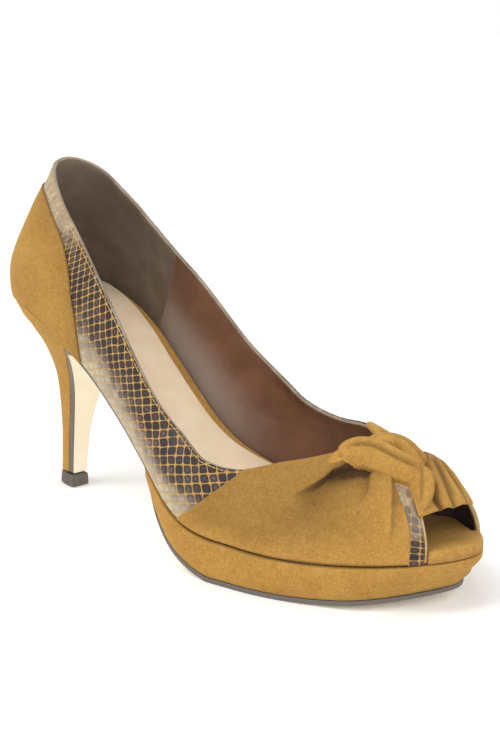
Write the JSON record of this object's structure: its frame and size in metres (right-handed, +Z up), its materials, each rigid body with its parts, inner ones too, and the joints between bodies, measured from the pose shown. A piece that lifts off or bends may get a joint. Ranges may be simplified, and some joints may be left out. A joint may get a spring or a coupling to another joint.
{
  "type": "high heel shoe",
  "caption": "Peep-toe platform pump for the right foot: hollow upper with a knotted vamp, covered high heel, platform, insole and sock.",
  "frame": {"origin": "middle of the bounding box in plan, on the floor under the shoe", "axes": "+X from heel to toe, +Y to the inner side of the right foot, +Z up"},
  "size_m": [0.2278, 0.088, 0.1428],
  "materials": {
    "suede": "mustard microsuede, short nap",
    "snake": "snake-embossed leather, dark cells in a mustard grid",
    "insole_suede": "mustard suede over the insole board",
    "sock_leather": "smooth pale leather",
    "sole_leather": "smooth cream sole with a dark painted edge",
    "top_piece_rubber": "hard dark rubber"
  },
  "bodies": {
    "root": {"outsole": "sole_leather", "platform": "suede", "heel": "suede", "top_piece": "top_piece_rubber", "insole": "insole_suede", "sock": "sock_leather", "upper": "snake", "counter": "suede", "toe_trim": "snake", "knot": "suede"}
  },
  "joints": []
}
